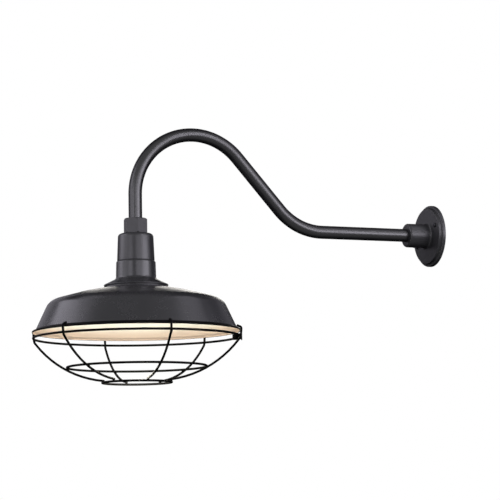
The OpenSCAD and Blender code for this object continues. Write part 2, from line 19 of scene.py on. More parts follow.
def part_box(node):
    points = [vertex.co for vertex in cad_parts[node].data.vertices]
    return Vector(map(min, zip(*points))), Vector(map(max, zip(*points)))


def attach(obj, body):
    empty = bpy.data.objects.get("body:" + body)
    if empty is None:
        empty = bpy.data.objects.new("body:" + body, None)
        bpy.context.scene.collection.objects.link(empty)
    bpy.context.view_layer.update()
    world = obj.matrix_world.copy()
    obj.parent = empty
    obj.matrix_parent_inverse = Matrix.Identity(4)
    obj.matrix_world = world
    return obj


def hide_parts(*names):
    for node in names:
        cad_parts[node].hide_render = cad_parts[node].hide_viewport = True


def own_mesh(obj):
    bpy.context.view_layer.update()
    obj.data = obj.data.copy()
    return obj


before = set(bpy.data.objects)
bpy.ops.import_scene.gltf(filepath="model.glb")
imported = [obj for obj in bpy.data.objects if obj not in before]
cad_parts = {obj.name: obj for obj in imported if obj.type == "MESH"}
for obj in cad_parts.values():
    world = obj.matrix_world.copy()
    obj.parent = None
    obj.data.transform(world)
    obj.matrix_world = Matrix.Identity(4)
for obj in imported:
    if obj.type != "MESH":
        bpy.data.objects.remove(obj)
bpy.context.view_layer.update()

mm = 0.001

# %% [markdown]
# ## The camera
# The light is seen from its right, a little in front of the wall, and from slightly below, as if someone
# stood under it. A long lens keeps the round shade from looking stretched. The camera's three axes are
# written down first, and its matrix is made from them: X is right, Y is up and Z points backwards.

# %% Place the camera
camera_azimuth = math.radians(67.48)
camera_elevation = math.radians(-7.146)
camera_distance = 4.2
camera_roll = math.radians(1.0)
camera_lens = 145.58
looked_at = Vector((-0.1470, -0.3477, -0.0213))

back = Vector((
    math.sin(camera_azimuth) * math.cos(camera_elevation),
    -math.cos(camera_azimuth) * math.cos(camera_elevation),
    math.sin(camera_elevation),
))
side = Vector((math.cos(camera_azimuth), math.sin(camera_azimuth), 0))
above = back.cross(side)
camera_up = math.cos(camera_roll) * above + math.sin(camera_roll) * side
camera_right = camera_up.cross(back)

camera_data = bpy.data.cameras.new("camera")
camera_data.lens = camera_lens
camera_data.sensor_width = 36
camera_data.clip_end = 100
camera = bpy.data.objects.new("camera", camera_data)
bpy.context.scene.collection.objects.link(camera)
pose = Matrix((camera_right, camera_up, back)).transposed().to_4x4()
pose.translation = looked_at + camera_distance * back
camera.matrix_world = pose
bpy.context.scene.camera = camera
print("camera at", [round(c, 3) for c in camera.matrix_world.translation])

# %% [markdown]
# ## Small tools for materials
# A material is a tree of nodes. A few short helpers keep the trees readable: one adds a node and sets it
# up by name, with an underscore for a space, one joins two sockets, one does a sum and one starts a node
# group. The last two finish a material: one colours it in two tones, and one gives it relief.

# %% Helpers for node trees
def add_node(tree, kind, settings=None, **sockets):
    node = tree.nodes.new(kind)
    for name, value in (settings or {}).items():
        setattr(node, name, value)
    for name, value in sockets.items():
        node.inputs[name.replace("_", " ")].default_value = value
    return node


def join(tree, source, output, target, name):
    tree.links.new(source.outputs[output], target.inputs[name])


def maths(tree, operation, *values, clamp=False):
    """A Math node whose values are numbers or (node, output) pairs."""
    node = add_node(tree, "ShaderNodeMath", {"operation": operation, "use_clamp": clamp})
    for place, value in enumerate(values):
        if isinstance(value, tuple):
            tree.links.new(value[0].outputs[value[1]], node.inputs[place])
        else:
            node.inputs[place].default_value = value
    return node


def new_group(name, inputs, outputs):
    group = bpy.data.node_groups.new(name, "ShaderNodeTree")
    for socket, kind, value in inputs:
        group.interface.new_socket(socket, in_out="INPUT", socket_type=kind).default_value = value
    for socket, kind in outputs:
        group.interface.new_socket(socket, in_out="OUTPUT", socket_type=kind)
    return group, group.nodes.new("NodeGroupInput"), group.nodes.new("NodeGroupOutput")


def two_tones(tree, source, output, color, low):
    """Colours the material from low times the color, where the source is 0, to the color itself."""
    tone = add_node(tree, "ShaderNodeValToRGB")
    tone.color_ramp.elements[0].color = (*[c * low for c in color], 1)
    tone.color_ramp.elements[1].color = (*color, 1)
    join(tree, source, output, tone, "Fac")
    join(tree, tone, "Color", tree.nodes["Principled BSDF"], "Base Color")


def emboss(tree, source, output, strength, depth):
    relief = add_node(tree, "ShaderNodeBump", Strength=strength, Distance=depth)
    join(tree, source, output, relief, "Height")
    join(tree, relief, "Normal", tree.nodes["Principled BSDF"], "Normal")


multiply_colors = {"data_type": "RGBA", "blend_type": "MULTIPLY"}
smooth_steps = {"interpolation_type": "SMOOTHSTEP"}
print("helpers ready")

# %% [markdown]
# ## Powder coat
# Every black part of the light is powder coated: dry paint is baked until it flows into a skin with a
# fine orange peel, a little cloudier in some places than in others, and a trace of dust settles where the
# surface looks up. Painting that by hand would tie it to one object, so it is a node group that works
# from Object coordinates and puts out a colour, a roughness and a height.

# %% Powder coat group
cloud_scale = 16.0
cloud_contrast = 4.0
dust_grey = (0.36, 0.34, 0.31, 1)
dust_lies_from = 0.55
rougher_by_peel = 0.06
rougher_by_cloud = 0.16


def powder_coat_group():
    group, given, result = new_group("powder coat", [
        ("Color", "NodeSocketColor", (0.03, 0.03, 0.03, 1)),
        ("Roughness", "NodeSocketFloat", 0.4),
        ("Peel Size", "NodeSocketFloat", 1.0 * mm),
        ("Cloudiness", "NodeSocketFloat", 0.2),
        ("Dust", "NodeSocketFloat", 0.05),
    ], [("Color", "NodeSocketColor"), ("Roughness", "NodeSocketFloat"), ("Height", "NodeSocketFloat")])
    place = add_node(group, "ShaderNodeTexCoord")
    peel = add_node(group, "ShaderNodeTexNoise", Detail=2.0, Roughness=0.6)
    cloud = add_node(group, "ShaderNodeTexNoise", Scale=cloud_scale, Detail=4.0, Roughness=0.65)
    join(group, place, "Object", peel, "Vector")
    join(group, place, "Object", cloud, "Vector")
    join(group, maths(group, "DIVIDE", 1.0, (given, "Peel Size")), "Value", peel, "Scale")

    # clouds lighten and darken the paint, and change how it shines
    swing = maths(group, "SUBTRACT", (cloud, "Fac"), 0.5)
    change = maths(group, "MULTIPLY", (swing, "Value"), (given, "Cloudiness"))
    bright = maths(group, "MULTIPLY_ADD", (change, "Value"), cloud_contrast, 1.0)
    tinted = add_node(group, "ShaderNodeMix", multiply_colors, Factor=1.0)
    join(group, given, "Color", tinted, "A")
    join(group, bright, "Value", tinted, "B")

    # dust lies on what faces up, in patches
    facing = add_node(group, "ShaderNodeNewGeometry")
    parts = add_node(group, "ShaderNodeSeparateXYZ")
    join(group, facing, "Normal", parts, "Vector")
    upward = add_node(group, "ShaderNodeMapRange", From_Min=dust_lies_from, From_Max=1.0)
    join(group, parts, "Z", upward, "Value")
    patches = maths(group, "MULTIPLY", (upward, "Result"), (cloud, "Fac"))
    dusty = maths(group, "MULTIPLY", (patches, "Value"), (given, "Dust"), clamp=True)
    settled = add_node(group, "ShaderNodeMix", {"data_type": "RGBA"}, B=dust_grey)
    join(group, dusty, "Value", settled, "Factor")
    join(group, tinted, "Result", settled, "A")

    by_peel = maths(group, "MULTIPLY_ADD", (peel, "Fac"), rougher_by_peel, (given, "Roughness"))
    by_cloud = maths(group, "MULTIPLY_ADD", (swing, "Value"), rougher_by_cloud, (by_peel, "Value"))
    rough = maths(group, "ADD", (by_cloud, "Value"), (dusty, "Value"), clamp=True)
    join(group, settled, "Result", result, "Color")
    join(group, rough, "Value", result, "Roughness")
    join(group, peel, "Fac", result, "Height")
    return group


powder_coat = powder_coat_group()
print("powder coat nodes:", len(powder_coat.nodes))

# %% [markdown]
# ## Turning marks
# A spun shade and a turned cap keep faint rings from the roller or the cutting tool. A ring is the same
# all the way round, so the pattern may only read how far a point is from the axis and how high it is. The
# group moves the axis to the origin with a Mapping node and looks those two numbers up in a fine noise.

# %% Turning marks group
def turning_marks_group():
    group, given, result = new_group("turning marks", [
        ("Axis", "NodeSocketVector", (0, 0, 0)),
        ("Spacing", "NodeSocketFloat", 1.0 * mm),
    ], [("Height", "NodeSocketFloat")])
    place = add_node(group, "ShaderNodeTexCoord")
    moved = add_node(group, "ShaderNodeMapping", {"vector_type": "TEXTURE"})
    join(group, place, "Object", moved, "Vector")
    join(group, given, "Axis", moved, "Location")
    parts = add_node(group, "ShaderNodeSeparateXYZ")
    join(group, moved, "Vector", parts, "Vector")
    across = maths(group, "MULTIPLY", (parts, "X"), (parts, "X"))
    squares = maths(group, "MULTIPLY_ADD", (parts, "Y"), (parts, "Y"), (across, "Value"))
    radius = maths(group, "SQRT", (squares, "Value"))
    flat = add_node(group, "ShaderNodeCombineXYZ")
    join(group, radius, "Value", flat, "X")
    join(group, parts, "Z", flat, "Y")
    rings = add_node(group, "ShaderNodeTexNoise", Detail=3.0, Roughness=0.7)
    join(group, flat, "Vector", rings, "Vector")
    join(group, maths(group, "DIVIDE", 1.0, (given, "Spacing")), "Value", rings, "Scale")
    join(group, rings, "Fac", result, "Height")
    return group


turning_marks = turning_marks_group()
print("turning marks nodes:", len(turning_marks.nodes))

# %% [markdown]
# ## Coated materials
# The shader itself stays in the material. Its colour, roughness and normal come from the group, and what
# is the same all over, such as the specular level, is set on the shader's own socket. The shade, the
# enamel and the socket cap also show the turning marks through their paint, so those are added to the
# peel's height, round the lamp's axis. Reflections grow strong at a grazing angle, but hardly on a fine
# satin skin, so on the tube and the cap the gloss fades where the surface turns away from the eye: a
# Layer Weight node says how far, and the numbers called rim are where the fade starts and ends.

# %% Coated materials
peel_height = 0.1 * mm
mark_spacing = 2.2 * mm
faded_specular = 0.06


def new_material(name):
    material = bpy.data.materials.new(name)
    material.use_nodes = True
    tree = material.node_tree
    return material, tree, tree.nodes["Principled BSDF"]


lamp_low, lamp_high = (Vector(corner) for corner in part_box("shade"))
lamp_axis = Vector(((lamp_low.x + lamp_high.x) / 2, (lamp_low.y + lamp_high.y) / 2, 0))


def coated(name, color, roughness, peel, bump, cloudiness=0.15, dust=0.05, specular=0.5, marks=0.0,
           rim=None):
    material, tree, shader = new_material(name)
    paint = add_node(tree, "ShaderNodeGroup", {"node_tree": powder_coat}, Color=(*color, 1),
                     Roughness=roughness, Peel_Size=peel, Cloudiness=cloudiness, Dust=dust)
    turning = add_node(tree, "ShaderNodeGroup", {"node_tree": turning_marks}, Axis=lamp_axis,
                       Spacing=mark_spacing)
    height = maths(tree, "MULTIPLY_ADD", (turning, "Height"), marks, (paint, "Height"))
    emboss(tree, height, "Value", bump, peel_height)
    join(tree, paint, "Color", shader, "Base Color")
    join(tree, paint, "Roughness", shader, "Roughness")
    shader.inputs["Specular IOR Level"].default_value = specular
    if rim:
        turned_away = add_node(tree, "ShaderNodeLayerWeight", Blend=0.5)
        gloss = add_node(tree, "ShaderNodeMapRange", smooth_steps, From_Min=rim[0], From_Max=rim[1],
                         To_Min=specular, To_Max=faded_specular)
        join(tree, turned_away, "Facing", gloss, "Value")
        join(tree, gloss, "Result", shader, "Specular IOR Level")
    return material


satin = (0.018, 0.018, 0.020)
deep_satin = (0.010, 0.010, 0.011)
deep_black = (0.002, 0.002, 0.002)
tube_black = coated("tube black", deep_satin, 0.29, 1.4 * mm, 0.08, specular=0.8, rim=(0.10, 0.46))
cast_black = coated("cast black", satin, 0.33, 1.1 * mm, 0.5, cloudiness=0.25)
cap_black = coated("cap black", satin, 0.29, 1.3 * mm, 0.35, cloudiness=0.2, marks=0.6, rim=(0.35, 0.75))
sheet_black = coated("sheet black", satin, 0.23, 1.8 * mm, 0.12, dust=0.04, marks=0.5)
wire_black = coated("wire black", deep_black, 0.5, 1.0 * mm, 0.3, dust=0, specular=0.06)
enamel_white = coated("warm white enamel", (0.88, 0.86, 0.80), 0.35, 2.2 * mm, 0.15, cloudiness=0.02,
                      dust=0, marks=0.4)
print("coated materials made")

# %% [markdown]
# ## Painted shade in the enamel
# A band of the enamel just above the lip looks darker and warmer than the dish, where the light inside
# falls off towards the lip. That shade is painted: a second material would leave a hard line, so it is a
# tint that is multiplied into the same white. It is whole near the lip and fades smoothly above it.

# %% Paint shade into the enamel towards the lip
def paint_shade_towards_lip(material, painted_shade_color, whole, gone):
    """Paints shade into the material's colour: a tint wholly below one height, not at all above another."""
    tree = material.node_tree
    shader = tree.nodes["Principled BSDF"]
    place = add_node(tree, "ShaderNodeTexCoord")
    parts = add_node(tree, "ShaderNodeSeparateXYZ")
    join(tree, place, "Object", parts, "Vector")
    share = add_node(tree, "ShaderNodeMapRange", smooth_steps, From_Min=gone, From_Max=whole)
    join(tree, parts, "Z", share, "Value")
    # the painted shade's darker, warmer tint is multiplied in here
    tinted = add_node(tree, "ShaderNodeMix", multiply_colors, B=(*painted_shade_color, 1))
    join(tree, share, "Result", tinted, "Factor")
    tree.links.new(shader.inputs["Base Color"].links[0].from_socket, tinted.inputs["A"])
    join(tree, tinted, "Result", shader, "Base Color")


# painted shade: the enamel darkened and warmed towards the lip
paint_shade_towards_lip(enamel_white, (0.77, 0.63, 0.56), whole=lamp_low.z + 8 * mm, gone=lamp_low.z + 28 * mm)
print("enamel nodes:", len(enamel_white.node_tree.nodes))

# %% [markdown]
# ## Bare metals and small parts
# Most screws, the spring and the lampholder's contacts aren't painted. The metals differ in their colour
# and in how sharply they shine, and all have the same fine scratches, so one function makes them all.

# %% Bare metals
scratch_scale = 600.0
scratch_roughness = 0.3
scratch_depth = 0.05 * mm
scratch_shade = 0.75


def metal(name, color, roughness):
    material, tree, shader = new_material(name)
    shader.inputs["Metallic"].default_value = 1.0
    place = add_node(tree, "ShaderNodeTexCoord")
    grain = add_node(tree, "ShaderNodeTexNoise", Scale=scratch_scale, Detail=4.0, Roughness=0.7)
    join(tree, place, "Object", grain, "Vector")
    two_tones(tree, grain, "Fac", color, scratch_shade)
    rough = maths(tree, "MULTIPLY_ADD", (grain, "Fac"), scratch_roughness, roughness)
    join(tree, rough, "Value", shader, "Roughness")
    emboss(tree, grain, "Fac", 0.2, scratch_depth)
    return material


zinc = metal("zinc plate", (0.62, 0.62, 0.60), 0.25)
dark_steel = metal("blackened steel", (0.045, 0.045, 0.05), 0.32)
brass = metal("brass", (0.78, 0.58, 0.30), 0.22)
nickel = metal("nickel plate", (0.72, 0.70, 0.66), 0.18)
spring_steel = metal("spring steel", (0.66, 0.66, 0.66), 0.2)
green_steel = metal("green dyed steel", (0.10, 0.42, 0.16), 0.3)
print("bare metals made")

# %% [markdown]
# ## Foam, rubber, ceramic and wire sleeves
# These are all a plain colour with a fine cellular break in it, deep and dull in foam and almost nothing
# under a ceramic glaze. A Voronoi pattern gives the cells. Its scale, its depth and how far it darkens
# the colour change from one to the next.

# %% Soft and ceramic materials
def speckled(name, color, roughness, scale, depth, low):
    material, tree, shader = new_material(name)
    place = add_node(tree, "ShaderNodeTexCoord")
    cells = add_node(tree, "ShaderNodeTexVoronoi", Scale=scale)
    join(tree, place, "Object", cells, "Vector")
    two_tones(tree, cells, "Distance", color, low)
    shader.inputs["Roughness"].default_value = roughness
    emboss(tree, cells, "Distance", 0.6, depth)
    return material


foam = speckled("closed cell foam", (0.035, 0.035, 0.035), 0.9, 900.0, 0.3 * mm, low=0.4)
silicone = speckled("charcoal silicone", (0.016, 0.016, 0.017), 0.6, 400.0, 0.02 * mm, low=0.92)
ceramic = speckled("glazed ceramic", (0.86, 0.84, 0.79), 0.12, 120.0, 0.02 * mm, low=0.97)
black_sleeve = speckled("black sleeve", (0.02, 0.02, 0.02), 0.55, 1500.0, 0.1 * mm, low=0.5)
white_sleeve = speckled("white sleeve", (0.78, 0.77, 0.73), 0.6, 1500.0, 0.1 * mm, low=0.8)
print("soft and ceramic materials made")

# %% [markdown]
# ## Dressing the solids whose shape is right
# A solid that already has its real shape only needs its material in its slot.

# %% Dress the solids
def dress(names, material):
    for name in names:
        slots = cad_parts[name].data.materials
        slots.clear()
        slots.append(material)


dress(["hub_set_screws", "coupling_set_screw"], dark_steel)
dress(["wall_gasket"], foam)
dress(["neck_seal"], silicone)
dress(["black_lead"], black_sleeve)
dress(["white_lead"], white_sleeve)
print("dressed the plain solids")

# %% [markdown]
# ## From a bmesh to a piece
# Every new piece ends in the same way: its faces are smooth up to its sharp edges, its mesh gets its
# materials, and the object is hung on the body that carries it and put in the place of the solid that it
# stands for, if there is one. Ends that a spin or an extrusion leaves open are closed with one face.

# %% Finish a piece
def finished(name, bm, materials, body, stands_for=(), sharp=35):
    for face in bm.faces:
        face.smooth = True
    for edge in bm.edges:
        edge.smooth = len(edge.link_faces) == 2 and edge.calc_face_angle() < math.radians(sharp)
    mesh = bpy.data.meshes.new(name)
    bm.to_mesh(mesh)
    bm.free()
    for material in materials:
        mesh.materials.append(material)
    piece = bpy.data.objects.new(name, mesh)
    bpy.context.scene.collection.objects.link(piece)
    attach(piece, body)
    if stands_for:
        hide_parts(*stands_for)
    print(name, "faces:", len(mesh.polygons))
    return piece


def close_ends(bm):
    bmesh.ops.holes_fill(bm, edges=[edge for edge in bm.edges if edge.is_boundary], sides=0)


print("finisher ready")

# %% [markdown]
# ## Edges that aren't knife sharp
# A solid's edges are perfect, and perfect edges catch no light. Castings, pressings and glazed parts have
# a small round on every edge. The solid itself stays as it is: a copy of its mesh is merged, its flat
# faces are joined again, and a Bevel modifier rounds whatever is sharper than the limit.

# %% Round the edges of a solid
same_point = 0.002 * mm
flat_within = math.radians(0.3)


def eased(node, material, width, body, segments=2, limit=32, reshape=None):
    bm = bmesh.new()
    bm.from_mesh(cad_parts[node].data)
    bmesh.ops.remove_doubles(bm, verts=bm.verts[:], dist=same_point)
    bmesh.ops.dissolve_limit(bm, angle_limit=flat_within, verts=bm.verts[:], edges=bm.edges[:])
    if reshape:
        reshape(bm)
    piece = finished(node + "_eased", bm, [material], body, [node], sharp=limit)
    bevel = piece.modifiers.new("ease", "BEVEL")
    bevel.limit_method = "ANGLE"
    bevel.angle_limit = math.radians(limit)
    bevel.width = width
    bevel.segments = segments
    bevel.harden_normals = True


print("edge rounder ready")

# %% [markdown]
# ## The canopy's depth
# The canopy is a dished casting: a flange on the wall, a raised face, and a hub that stands far out. Its
# copy is drawn deeper than the solid before its edges are rounded. Scaling it would stretch its holes as
# well, so each point's distance from the wall is looked up in a table of old and new depths instead. The
# outer flange has a table of its own. In the other, the hollow back, the bores and the hub's screw holes
# keep theirs.

# %% Draw the canopy forward
# all in millimetres: depths before, depths after
flange_inner_r = 57
flange_depths = (0, 2.3, 2.7, 5, 9), (0, 2.3, 4.7, 7, 12.5)
face_depths = (0, 8.5, 9, 11.5, 15.5, 20.5, 46, 47, 51), (0, 8.5, 12.5, 13.5, 17.5, 20.5, 46, 55.5, 59.5)


def draw_forward(bm):
    """Moves the flange, the raised face and the hub's front away from the wall."""
    for vert in bm.verts:
        across = math.hypot(vert.co.x, vert.co.z) / mm
        before, after = flange_depths if across > flange_inner_r else face_depths
        forward = numpy.interp(-vert.co.y / mm, before, after)
        vert.co.y = -forward * mm


eased("canopy", cast_black, 0.35 * mm, "fixture", reshape=draw_forward)
eased("socket_cap", cap_black, 0.4 * mm, "fixture")
eased("hex_coupling", cast_black, 0.7 * mm, "fixture", segments=3)
eased("lampholder_body", ceramic, 0.4 * mm, "fixture")
eased("line_terminal", brass, 0.2 * mm, "fixture")
eased("neutral_terminal", nickel, 0.2 * mm, "fixture")
eased("centre_contact", brass, 0.15 * mm, "contact")
eased("clamp_strap", wire_black, 0.6 * mm, "guard")
eased("clamp_lug", wire_black, 0.6 * mm, "guard")
eased("clamp_nut", wire_black, 0.3 * mm, "guard")
print("edges eased")

# %% [markdown]
# ## Turning a piece on the lathe
# Round parts are made as a turner makes them: an outline on one side of the axis, swung round it. The
# outline is a chain of edges. Bevelling one of its corner points, with a profile of 0.5, puts a true arc
# there, so only the corners have to be given. The bevel's offset is how far along each side the arc
# starts. A tube or a sheet is made as a skin, and a Solidify modifier gives it its thickness towards the
# inside.

# %% Outlines and turning
degrees_a_facet = 9
about_z = {"cent": (0, 0, 0), "axis": (0, 0, 1)}
merged = 0.001 * mm


def outline(points, radii):
    """A bmesh with edges through the points (radius, height), and corner i rounded to radii[i]."""
    bm = bmesh.new()
    corners = [bm.verts.new((x, 0, z)) for x, z in points]
    for a, b in zip(corners, corners[1:]):
        bm.edges.new((a, b))
    for corner, radius in zip(corners, radii):
        if radius == 0:
            continue
        a, b = [edge.other_vert(corner).co - corner.co for edge in corner.link_edges]
        turn = math.pi - a.angle(b)
        bmesh.ops.bevel(bm, geom=[corner], offset=radius * math.tan(turn / 2), profile=0.5,
                        segments=max(2, round(math.degrees(turn) / degrees_a_facet)),
                        affect="VERTICES", material=-1)
    return bm


def turned(points, radii, steps=96):
    """The outline swung once round the Z axis."""
    bm = outline(points, radii)
    bmesh.ops.spin(bm, geom=bm.verts[:] + bm.edges[:], angle=math.tau, steps=steps, use_merge=True,
                   **about_z)
    bmesh.ops.remove_doubles(bm, verts=bm.verts[:], dist=merged)
    bmesh.ops.recalc_face_normals(bm, faces=bm.faces[:])
    return bm


def moved(bm, matrix):
    bmesh.ops.transform(bm, matrix=matrix, verts=bm.verts[:])
    return bm


def walled(piece, thickness):
    wall = piece.modifiers.new("wall", "SOLIDIFY")
    wall.thickness = thickness
    wall.offset = -1
    return wall


at_lamp = Matrix.Translation(lamp_axis)
on_wall = Matrix.Rotation(math.radians(90), 4, "X")
print("lamp axis at", [round(c, 4) for c in lamp_axis])

# %% [markdown]
# ## The shade
# The shade is one disc of sheet, spun over a form: a neck that flares out to a small step, a shallow
# crown that falls in two slopes, a round shoulder, a straight sloping skirt, and a lip that is a ledge
# turned out and a low edge under it. Only its outside is turned here. Solidify gives it the sheet's
# thickness and puts the white enamel inside, one material slot further on. The lip is painted in the
# wires' darker, duller black, so that it mirrors less of the light around it: this is painted shade, as
# the real lip is the same black sheet. Its faces take the third slot, and the fourth is enamel again.

# %% Spin the shade
sheet = 1.4 * mm
rim_r = (lamp_high.x - lamp_low.x) / 2
skirt_r = 195.2 * mm
shade_top = lamp_high.z
lip_foot = lamp_low.z
lip_fall = 3.4 * mm
lip_edge = 3.0 * mm
skirt_foot = lip_foot + lip_edge + lip_fall
neck_foot = shade_top - 34.5 * mm
step_top = neck_foot - 11.6 * mm
step_foot = step_top - 5.9 * mm
crown_z = step_foot - 8 * mm
skirt_top = crown_z - 17.3 * mm
# the lip's faces below this height take the darker black of the painted shade
painted_shade_top = skirt_foot + 0.3 * mm
painted_shade_slot = 2

shade_corners = [
    # radius, height, rounding
    (22 * mm, shade_top, 0),
    (38.4 * mm, shade_top, 2.5 * mm),
    (39.2 * mm, neck_foot, 6 * mm),
    (63 * mm, step_top, 1.3 * mm),
    (61.2 * mm, step_foot, 2 * mm),
    (105 * mm, crown_z, 200 * mm),
    (169.5 * mm, skirt_top, 26 * mm),
    (skirt_r, skirt_foot, 2 * mm),
    (rim_r, skirt_foot - lip_fall, 2 * mm),
    (rim_r - 1.2 * mm, lip_foot, 0),
]
shade_mesh = turned([(r, z) for r, z, _ in shade_corners], [rounding for _, _, rounding in shade_corners],
                    steps=180)
shade_shell = finished("shade_shell", moved(shade_mesh, at_lamp),
                       [sheet_black, enamel_white, wire_black, enamel_white], "fixture",
                       ["shade"])
# painted shade: the lip's faces take the wires' darker, duller black
for face in shade_shell.data.polygons:
    if face.center.z < painted_shade_top:
        face.material_index = painted_shade_slot
shade_wall = walled(shade_shell, sheet)
shade_wall.use_even_offset = True
shade_wall.material_offset = 1
shade_wall.material_offset_rim = 0

# %% [markdown]
# ## Bending a bar
# The arm and the guard's ribs are straight stock put through a bender: a straight run, a bend of one
# radius, the next straight run. A curve object with a round profile could do it, but its bends aren't
# true arcs. Here the end of the bar is a ring of edges. It is extruded along each straight run and spun
# round each bend's centre.

# %% Bend a bar
def ring_end(geom):
    edges = [item for item in geom if isinstance(item, bmesh.types.BMEdge) and len(item.link_faces) < 2]
    return edges, list({vert for edge in edges for vert in edge.verts})


def in_plane(across, height):
    return Vector((across, 0, height))


def facing_along(way):
    return way.to_track_quat("Z", "Y").to_matrix().to_4x4()


def bent_bar(corners, radii, bar_r, sides, degrees_a_step=4):
    """A round bar in the XZ plane through the corners, bent to the radii, its two ends left open."""
    bm = bmesh.new()
    at = corners[0]
    way = (corners[1] - at).normalized()
    start = Matrix.Translation(at) @ facing_along(way)
    bmesh.ops.create_circle(bm, segments=sides, radius=bar_r, matrix=start)
    edges, verts = ring_end(bm.edges)
    for index in range(1, len(corners)):
        last = index == len(corners) - 1
        onward = way if last else (corners[index + 1] - corners[index]).normalized()
        turn = way.angle(onward)
        bend_starts = corners[index] - radii[index] * math.tan(turn / 2) * way
        if (bend_starts - at).length > 0.01 * mm:
            longer = bmesh.ops.extrude_edge_only(bm, edges=edges)
            edges, verts = ring_end(longer["geom"])
            bmesh.ops.translate(bm, verts=verts, vec=bend_starts - at)
        at = bend_starts
        if not last:
            axis = way.cross(onward).normalized()
            centre = at + radii[index] * axis.cross(way)
            steps = max(3, round(math.degrees(turn) / degrees_a_step))
            bent = bmesh.ops.spin(bm, geom=edges + verts, cent=centre, axis=axis, angle=turn, steps=steps,
                                  use_merge=False)
            edges, verts = ring_end(bent["geom_last"])
            at = centre + Matrix.Rotation(turn, 3, axis) @ (at - centre)
        way = onward
    bmesh.ops.recalc_face_normals(bm, faces=bm.faces[:])
    return bm


print("bender ready")

# %% [markdown]
# ## The gooseneck
# The arm is one length of steel tube. It leaves the canopy level, is bent up, and is then bent over the
# top until it points straight down. Its sizes come from the solid's box; the bends' radius and the slope
# are the bender's settings. Only the outside is bent, and the wall comes from Solidify.

# %% Bend the gooseneck
arm_low, arm_high = (Vector(corner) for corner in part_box("gooseneck_tube"))
tube_r = (arm_high.x - arm_low.x) / 2
tube_wall = 2.6 * mm
arm_reach = -arm_low.y - tube_r
arm_rise = arm_high.z - tube_r
bend_r = 124 * mm
slope = math.radians(48.5)
crown_corner = arm_rise - bend_r + bend_r * math.tan((math.radians(90) + slope) / 2)

gooseneck_mesh = bent_bar(
    [in_plane(-arm_high.y, 0), in_plane(arm_reach - crown_corner / math.tan(slope), 0),
     in_plane(arm_reach, crown_corner), in_plane(arm_reach, arm_low.z)],
    [0, bend_r, bend_r, 0], tube_r, sides=64, degrees_a_step=2.5)
out_from_wall = Matrix.Rotation(math.radians(-90), 4, "Z")
gooseneck = finished("gooseneck", moved(gooseneck_mesh, out_from_wall), [tube_black], "fixture",
                     ["gooseneck_tube"])
walled(gooseneck, tube_wall)

# %% [markdown]
# ## The guard's rings
# Each ring is a wire bent round and butt welded, so it is a circle spun round the lamp's axis. The top
# one is left open where the clamp pulls it together. Radius, height and wire are measured from the
# solids. The finished wire is a little thicker than the bare one, because the coat builds up on it: the
# ring keeps its outside and grows inwards.

# %% Guard rings
wire_coat = 0.3 * mm
wire_r = (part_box("guard_bottom_ring")[1][2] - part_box("guard_bottom_ring")[0][2]) / 2 + wire_coat
wire_sides = 16
ring_steps = 160
guard_turn = math.radians(-1)
clamp_turn = guard_turn + math.radians(76)
clamp_half_opening = 9.8 * mm
top_ring_inset = 2.9 * mm


def swung(angle):
    return Matrix.Rotation(angle, 4, "Z")


def ring_place(node):
    low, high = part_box(node)
    return (high[0] - low[0]) / 2 - wire_r, (low[2] + high[2]) / 2


def wire_ring(node, half_gap=0.0):
    radius, height = ring_place(node)
    bm = bmesh.new()
    stand = Matrix.Translation((radius, 0, height)) @ on_wall
    bmesh.ops.create_circle(bm, segments=wire_sides, radius=wire_r, matrix=stand)
    bmesh.ops.spin(bm, geom=bm.verts[:] + bm.edges[:], steps=ring_steps, angle=math.tau - 2 * half_gap,
                   use_merge=half_gap == 0, **about_z)
    bmesh.ops.remove_doubles(bm, verts=bm.verts[:], dist=merged)
    close_ends(bm)
    bmesh.ops.recalc_face_normals(bm, faces=bm.faces[:])
    place = at_lamp @ swung(clamp_turn + half_gap)
    finished(node + "_wire", moved(bm, place), [wire_black], "guard", [node], sharp=60)


top_r, top_z = rim_r - top_ring_inset, ring_place("guard_top_ring")[1]
wire_ring("guard_top_ring", half_gap=math.asin(clamp_half_opening / top_r))
wire_ring("guard_middle_ring")
wire_ring("guard_bottom_ring")

# %% [markdown]
# ## The guard's ribs: where they pass
# A rib is bent over the shade's lip, comes down past it, leans in to the top ring, turns at a knee and
# then follows one large arc to the bottom ring. The arc is the circle through the knee and the two lower
# crossings. Where two straight runs meet, the corner is found by crossing the lines.

# %% Points of a rib
def quarter_turn(v):
    return in_plane(v.z, -v.x)


def meeting(a, way_a, b, way_b):
    return intersect_line_line(a, a + way_a, b, b + way_b)[0]


mid_r, mid_z = ring_place("guard_middle_ring")
low_r, low_z = ring_place("guard_bottom_ring")
weld_gap = 0.1 * mm
beside = 2 * wire_r + weld_gap
hook_gap = 0.35 * mm
hook_start = 2 * mm
knee_drop = 9.5 * mm
hook_out = rim_r + hook_gap + wire_r
hook_in = skirt_r + hook_start
ledge = math.atan(lip_fall / (rim_r - skirt_r))
hook_z = skirt_foot - hook_start * math.tan(ledge) + (wire_r + hook_gap) / math.cos(ledge)
hook_corner_z = hook_z - (hook_out - hook_in) * math.tan(ledge)

top_ring_at = in_plane(top_r, top_z)
mid_ring_at = in_plane(mid_r, mid_z)
low_ring_at = in_plane(low_r, low_z)
knee = in_plane(top_r, top_z - knee_drop)
top_pass = in_plane(top_r + beside, top_z)
low_pass = in_plane(low_r, low_z + beside)
mid_pass = mid_ring_at + beside * quarter_turn(knee - low_pass).normalized()
bowl_centre = meeting((knee + mid_pass) / 2, quarter_turn(mid_pass - knee),
                      (mid_pass + low_pass) / 2, quarter_turn(low_pass - mid_pass))
bowl_r = (knee - bowl_centre).length
knee_way = quarter_turn(knee - bowl_centre)
low_way = quarter_turn(low_pass - bowl_centre)
leg_foot = in_plane(hook_out, lip_foot - hook_gap)
print("bowl radius", round(bowl_r, 4), "low way", low_way)

